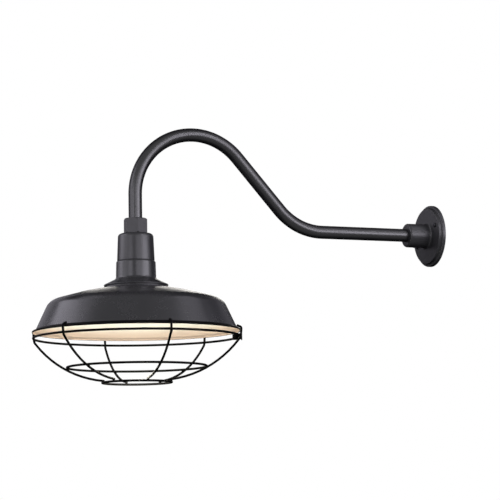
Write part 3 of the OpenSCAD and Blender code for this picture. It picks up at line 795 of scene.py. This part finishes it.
# %% [markdown]
# ## The guard's ribs: bending them
# All six ribs are the same bent wire, turned round the lamp's axis in steps of sixty degrees. The bender
# is given the corners and the radius of each bend, and the last bend has the radius of the bowl. They
# could be one mesh, but each is its own piece, because each stands in the place of its own solid.

# %% Bend the ribs
rib_count = 6
rib_step = 60
hook_bend = 4 * mm
leg_bend = 10 * mm
rib_corners = [
    in_plane(hook_in, hook_z), in_plane(hook_out, hook_corner_z), leg_foot,
    meeting(leg_foot, top_pass - leg_foot, knee, knee_way), meeting(knee, knee_way, low_pass, low_way),
    low_pass + wire_r * low_way.normalized(),
]
rib_radii = [0, hook_bend, leg_bend, leg_bend, bowl_r, 0]
rib_turns = [swung(guard_turn + math.radians(rib_step * number)) for number in range(rib_count)]

for number, turn in enumerate(rib_turns, start=1):
    rib = bent_bar(rib_corners, rib_radii, wire_r, sides=wire_sides)
    close_ends(rib)
    node = f"guard_rib_{number}"
    place = at_lamp @ turn
    finished(node + "_wire", moved(rib, place), [wire_black], "guard", [node], sharp=60)

# %% [markdown]
# ## Welds
# Every crossing of two wires is spot welded. The current melts the two together and leaves a small
# flattened bead, which the paint then covers. A ball squashed between the two wires is enough.

# %% Weld beads
bead_r = 1.15 * wire_r
bead_half_height = 0.75 * wire_r
squash = Matrix.Diagonal((bead_r, bead_r, bead_half_height, 1))
beads = bmesh.new()
for rib_at, ring_at in ((top_pass, top_ring_at), (mid_pass, mid_ring_at), (low_pass, low_ring_at)):
    between = Matrix.Translation((rib_at + ring_at) / 2) @ facing_along(rib_at - ring_at)
    for turn in rib_turns:
        bmesh.ops.create_icosphere(beads, subdivisions=2, radius=1, matrix=at_lamp @ turn @ between @ squash)
finished("weld_beads", beads, [wire_black], "guard", sharp=80)

# %% [markdown]
# ## Screw heads
# The screws have pan heads with a cross recess. The head is turned first and left open in the middle of
# its top. The recess starts as a grid of nine faces: its inner lines are drawn together, its corners are
# deleted and the cross that is left is extruded down and drawn in. The flat between the cross and the
# turned rim is then filled.

# %% Cross head screw
def cross_screw(head_r, head_h, shank_r, shank_len):
    """A screw on the Z axis, its head standing on the plane of the origin."""
    flat_r = head_r * 0.62
    half = head_r * 0.52
    arm_share = 0.38
    floor_share = 0.55
    recess_depth = head_h * 0.7
    bm = turned([(flat_r, head_h), (head_r, head_h * 0.9), (head_r, 0), (shank_r, 0), (shank_r, -shank_len),
                 (0, -shank_len)], [0, head_h * 0.6, head_h * 0.08, 0, shank_r * 0.3, 0], steps=32)
    rim = [edge for edge in bm.edges if edge.is_boundary and edge.verts[0].co.z > head_h / 2]
    grid = bmesh.ops.create_grid(bm, x_segments=3, y_segments=3, size=half,
                                 matrix=Matrix.Translation((0, 0, head_h)))["verts"]
    for vert in grid:
        vert.co.x *= arm_share if abs(vert.co.x) < half / 2 else 1
        vert.co.y *= arm_share if abs(vert.co.y) < half / 2 else 1
    faces = {face for vert in grid for face in vert.link_faces}
    corners = [face for face in faces if min(abs(c) for c in face.calc_center_median().xy) > half / 4]
    bmesh.ops.delete(bm, geom=corners, context="FACES")
    cross = list(faces.difference(corners))
    cross_rim = [edge for edge in {edge for face in cross for edge in face.edges} if edge.is_boundary]
    sunk = bmesh.ops.extrude_face_region(bm, geom=cross)["geom"]
    recess_floor = [item for item in sunk if isinstance(item, bmesh.types.BMVert)]
    bmesh.ops.scale(bm, verts=recess_floor, vec=(floor_share, floor_share, 1))
    bmesh.ops.translate(bm, verts=recess_floor, vec=(0, 0, -recess_depth))
    bmesh.ops.triangle_fill(bm, edges=rim + cross_rim, use_beauty=True)
    bmesh.ops.recalc_face_normals(bm, faces=bm.faces[:])
    return bm


def put(bm, places):
    """One mesh with a copy of the bmesh at each place."""
    one = bpy.data.meshes.new("one")
    bm.to_mesh(one)
    bm.free()
    together = bmesh.new()
    for place in places:
        start = len(together.verts)
        together.from_mesh(one)
        bmesh.ops.transform(together, matrix=place, verts=together.verts[start:])
    bpy.data.meshes.remove(one)
    return together


print("screw tools ready")

# %% [markdown]
# ## The screws in their places
# Two screws hold the canopy to its box, three hold the shade under the cap, and two hold the lampholder.
# Each is the same function with its own sizes: the head's radius and height, then the shank's radius and
# length. The canopy's screws end just behind the wall, so that no tip shows beside the plate.

# %% Place the screws
canopy_screw_turn = math.radians(24)
canopy_screw_across = 44.45 * mm
canopy_screw_seat = 12.765 * mm
canopy_screw_at = Matrix.Translation((canopy_screw_across, 0, canopy_screw_seat))
canopy_places = [on_wall @ swung(canopy_screw_turn + half) @ canopy_screw_at for half in (0, math.pi)]
finished("canopy_cross_screws", put(cross_screw(4.3 * mm, 2.8 * mm, 2.07 * mm, 14 * mm), canopy_places),
         [dark_steel], "fixture", ["canopy_screws"])
upside_down = Matrix.Rotation(math.pi, 4, "X")


def under_lamp(node, turns, across, shank_len, head_r=3.2 * mm, head_h=2.2 * mm, shank_r=1.85 * mm):
    """Screws round the lamp's axis, head down, their heads reaching the foot of the node's box."""
    seat = Matrix.Translation((across, 0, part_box(node)[0][2] + head_h))
    places = [at_lamp @ swung(math.radians(turn)) @ seat @ upside_down for turn in turns]
    screws = put(cross_screw(head_r, head_h, shank_r, shank_len), places)
    finished(node + "_cross", screws, [zinc], "fixture", [node])


under_lamp("shade_screws", (30, 150, 270), across=30.5 * mm, shank_len=12.4 * mm)
under_lamp("holder_screws", (0, 180), across=22.4 * mm, shank_len=16 * mm)

# %% [markdown]
# ## Threads
# A thread is an outline of one pitch, carried round the axis while it climbs one pitch a turn. The top of
# one turn lands on the foot of the next, so merging the doubles makes one skin. The ragged first and last
# turns are cut off square. The clamp's screw has a real V thread, and the lampholder's shell is a sheet
# rolled to a round one.

# %% Cut a thread
def threaded(groove, pitch, low, high):
    """A skin on the Z axis from low to high; groove lists (radius, share of the pitch) over one pitch."""
    bm = bmesh.new()
    verts = [bm.verts.new((radius, 0, low + (share - 1) * pitch)) for radius, share in groove]
    for a, b in zip(verts, verts[1:]):
        bm.edges.new((a, b))
    around = 32
    steps = around * (math.ceil((high - low) / pitch) + 1)
    bmesh.ops.spin(bm, geom=bm.verts[:] + bm.edges[:], steps=steps, angle=math.tau * steps / around,
                   dvec=(0, 0, pitch / around), use_merge=False, **about_z)
    bmesh.ops.remove_doubles(bm, verts=bm.verts[:], dist=0.01 * mm)
    for height, outward in ((low, -1), (high, 1)):
        bmesh.ops.bisect_plane(bm, geom=bm.verts[:] + bm.edges[:] + bm.faces[:], plane_co=(0, 0, height),
                               plane_no=(0, 0, outward), clear_outer=True)
    bmesh.ops.recalc_face_normals(bm, faces=bm.faces[:])
    return bm


shell_low, shell_high = (Vector(corner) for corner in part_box("screw_shell"))
shell_r = (shell_high.x - shell_low.x) / 2
shell_sheet = 0.15 * mm
lamp_pitch = 3.63 * mm
rolled_in = ((0.85, 0.0), (0.62, 0.17), (0.18, 0.34), (0.02, 0.5), (0.18, 0.66), (0.62, 0.83), (0.85, 1.0))
rolled = [(shell_r - depth * mm, share) for depth, share in rolled_in]
shell_mesh = threaded(rolled, lamp_pitch, shell_low.z, shell_high.z)
screw_shell = finished("screw_shell_rolled", moved(shell_mesh, at_lamp), [nickel], "fixture",
                       ["screw_shell"])
walled(screw_shell, shell_sheet)

# %% [markdown]
# ## The clamp's screw and the earth screw
# One screw draws the clamp's two lugs together and so tightens the top ring under the lip. It is coated
# black with the guard. Its shank is a little slimmer than the thread round it, and the two are joined
# into one mesh. The green screw of the earth wire is placed here too, in the canopy's hollow back, with
# its head towards the wall.

# %% Clamp screw and earth screw
def joined(first, second):
    spare = bpy.data.meshes.new("spare")
    second.to_mesh(spare)
    second.free()
    first.from_mesh(spare)
    bpy.data.meshes.remove(spare)
    return first


lug_side = -9.6 * mm
bolt_inset = 4.842 * mm
bolt_at = Matrix.Translation((top_r - wire_r - bolt_inset, lug_side, top_z))
bolt_place = at_lamp @ swung(clamp_turn) @ bolt_at @ on_wall
thread_root = 1.62 * mm
thread_crest = 1.98 * mm
thread_pitch = 0.8 * mm
thread_end = -24.4 * mm
thread_start = -4 * mm
v_groove = [(thread_root, 0.0), (thread_crest, 0.42), (thread_crest, 0.58), (thread_root, 1.0)]
thread = threaded(v_groove, thread_pitch, thread_end, thread_start)
close_ends(thread)
bolt = joined(cross_screw(3.6 * mm, 2.6 * mm, 1.6 * mm, 24.2 * mm), thread)
finished("clamp_screw_threaded", moved(bolt, bolt_place), [wire_black], "guard",
         ["clamp_screw"])

earth_across = 33.175 * mm
earth_seat = 5 * mm
earth_place = on_wall @ Matrix.Translation((earth_across, 0, earth_seat)) @ upside_down
earth = moved(cross_screw(4.08 * mm, 1.8 * mm, 2.35 * mm, 2.8 * mm), earth_place)
finished("earth_screw_cross", earth, [green_steel], "fixture", ["ground_screw"])

# %% [markdown]
# ## The spring behind the contact
# The lamp's centre contact is pressed down by a small coil spring. A circle of wire is spun three turns
# and climbs as it goes.

# %% Wind the spring
coil_low, coil_high = (Vector(corner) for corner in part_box("contact_spring"))
coil_wire_r = 0.25 * mm
coil_r = (coil_high.x - coil_low.x) / 2 - coil_wire_r
coil_turns = 3
coil_steps = 32 * coil_turns
climb = (coil_high.z - coil_low.z - 2 * coil_wire_r) / coil_steps

coil = bmesh.new()
start = Matrix.Translation((coil_r, 0, coil_low.z + coil_wire_r)) @ on_wall
bmesh.ops.create_circle(coil, segments=10, radius=coil_wire_r, matrix=start)
bmesh.ops.spin(coil, geom=coil.verts[:] + coil.edges[:], steps=coil_steps, angle=math.tau * coil_turns,
               dvec=(0, 0, climb), use_merge=False, **about_z)
close_ends(coil)
bmesh.ops.recalc_face_normals(coil, faces=coil.faces[:])
spring = finished("contact_coil", moved(coil, at_lamp), [spring_steel], "fixture",
                  ["contact_spring"], sharp=60)
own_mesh(spring)

# %% [markdown]
# ## The floor
# The stage is plain: a wide pale floor nearly four metres below, the height at which such a light is
# mounted. It gives off light of its own, so that it looks evenly pale out to its edge. Satin black
# mirrors whatever lies round it, so the floor is hidden from reflections and bounced light, and the arm
# stays dark below.

# %% Floor
floor_z = -3.8
floor_r = 25
floor_grey = (0.82, 0.82, 0.82, 1)
floor_mesh = bmesh.new()
bmesh.ops.create_circle(floor_mesh, cap_ends=True, segments=128, radius=floor_r)
bmesh.ops.translate(floor_mesh, verts=floor_mesh.verts[:], vec=(0, -0.4, floor_z))
floor_data = bpy.data.meshes.new("floor")
floor_mesh.to_mesh(floor_data)
floor_mesh.free()
floor_paint, _, floor_shader = new_material("pale floor")
floor_shader.inputs["Base Color"].default_value = floor_grey
floor_shader.inputs["Roughness"].default_value = 0.9
floor_shader.inputs["Emission Color"].default_value = floor_grey
floor_shader.inputs["Emission Strength"].default_value = 0.9
floor_data.materials.append(floor_paint)
floor = bpy.data.objects.new("floor", floor_data)
floor.visible_glossy = False
floor.visible_diffuse = False
bpy.context.scene.collection.objects.link(floor)
print("floor at", floor_z)

# %% [markdown]
# ## The lights
# Satin black shows its shape by what it mirrors, so the soft lights stand where their stripes should
# fall. Each one is placed by how far it is turned to the camera's right and how high it stands, both seen
# from the middle of the light. Its power follows from how bright its face is, so that boxes of one
# brightness give stripes of one brightness, whatever their size. A low row lights the sides of the shade
# and the cap, higher ones light the shoulder and the crown, and dim ones stand at the back beside a
# narrow warm one. The brightest is small and high on the right, and draws the long line along the arm.
# All but the warm one are a shade towards blue.

# %% Soft lights
lit_point = Vector((0, -0.45, -0.05))
camera_heading = math.atan2(back.y, back.x)
cool = (1, 0.965, 1.09)
warm = (1, 0.97, 0.92)


def softbox(name, turn, height, width, tall, brightness, distance=2.6, color=cool):
    heading = camera_heading + math.radians(turn)
    rise = math.radians(height)
    way = Vector((math.cos(heading) * math.cos(rise), math.sin(heading) * math.cos(rise), math.sin(rise)))
    data = bpy.data.lights.new(name, "AREA")
    data.shape = "RECTANGLE"
    data.size = width
    data.size_y = tall
    data.energy = brightness * math.pi * width * tall
    data.color = color
    light = bpy.data.objects.new(name, data)
    light.matrix_world = Matrix.Translation(lit_point + distance * way) @ facing_along(way)
    light.visible_camera = False
    bpy.context.scene.collection.objects.link(light)


softboxes = [
    # name, degrees to the right, degrees up, width, height, brightness
    ("left behind", -110, 8, 0.9, 0.9, 1.2),
    ("left far", -90, 8, 0.9, 0.9, 2.5),
    ("left", -60, 8, 1.87, 0.9, 1.33),
    ("left near", -30, 8, 0.9, 0.9, 2.36),
    ("right near", 20, 8, 1.87, 0.9, 2.25),
    ("right", 60, 8, 1.87, 0.9, 5.0),
    ("right far", 90, 8, 0.9, 0.9, 0.75),
    ("left high", -90, 28, 2.65, 0.95, 2.3),
    ("right high", 90, 28, 2.65, 0.95, 0.55),
    ("right front high", 45, 32, 0.9, 0.5, 6.5),
    ("left top", -90, 50, 1.38, 1.0, 0.76),
    ("right top", 90, 50, 1.38, 1.0, 1.03),
    ("left back", -145, 20, 1.4, 1.2, 0.40),
    ("right back", 145, 20, 1.4, 1.2, 0.2),
]
for row in softboxes:
    softbox(*row)
softbox("behind", 180, 15.5, 1.2, 0.36, 3.4, distance=2.8, color=warm)
print("soft lights:", len(softboxes) + 1)

# %% [markdown]
# ## The lamp's glow
# The lamp itself is left out, but the shade is lit from inside as if one were in it. A warm point of
# light at the level of the bottom ring lights the whole dish, and a weak one stands where the bulb would
# be.

# %% Glow
bulb_r = 0.03
bulb_color = (1.0, 0.95, 0.80)


def glow(name, height, energy):
    data = bpy.data.lights.new(name, "POINT")
    data.energy = energy
    data.shadow_soft_size = bulb_r
    data.color = bulb_color
    light = bpy.data.objects.new(name, data)
    light.location = lamp_axis + Vector((0, 0, height))
    light.visible_camera = False
    bpy.context.scene.collection.objects.link(light)


glow("low glow", -0.30, 1.42)
glow("bulb glow", neck_foot - 20 * mm, 0.08)

# %% [markdown]
# ## The room
# The room is white to the camera and dim to everything else, so that the background stays clean and the
# black stays black. It is darker below than above, and almost black on the far side of the light, because
# a bright wall there would be mirrored along every rim.

# %% Room
light_below = 0.32
light_above = 0.50
light_behind = 0.03

world = bpy.data.worlds.new("room")
bpy.context.scene.world = world
world.use_nodes = True
room = world.node_tree
seen = add_node(room, "ShaderNodeBackground", Color=(1, 1, 1, 1), Strength=1.0)
lit = add_node(room, "ShaderNodeBackground", Color=(1, 1, 1, 1))
sky = add_node(room, "ShaderNodeTexCoord")
sky_parts = add_node(room, "ShaderNodeSeparateXYZ")
join(room, sky, "Generated", sky_parts, "Vector")
above_floor = add_node(room, "ShaderNodeMapRange", From_Min=-0.1, From_Max=0.1, To_Min=light_below,
                       To_Max=light_above)
join(room, sky_parts, "Z", above_floor, "Value")
toward = add_node(room, "ShaderNodeVectorMath", {"operation": "DOT_PRODUCT"})
toward.inputs[1].default_value = (back.x, back.y, 0)
join(room, sky, "Generated", toward, "Vector")
in_front = add_node(room, "ShaderNodeMapRange", From_Min=-0.3, From_Max=0.3, To_Min=light_behind, To_Max=1.0)
join(room, toward, "Value", in_front, "Value")
join(room, maths(room, "MULTIPLY", (above_floor, "Result"), (in_front, "Result")), "Value", lit, "Strength")
rays = add_node(room, "ShaderNodeLightPath")
either = add_node(room, "ShaderNodeMixShader")
join(room, rays, "Is Camera Ray", either, "Fac")
room.links.new(lit.outputs["Background"], either.inputs[1])
room.links.new(seen.outputs["Background"], either.inputs[2])
join(room, either, "Shader", room.nodes["World Output"], "Surface")
bpy.context.scene.view_settings.view_transform = "Standard"
print("room nodes:", len(room.nodes))

# %% [markdown]
# ## The end

# %% Finish
print("finished")
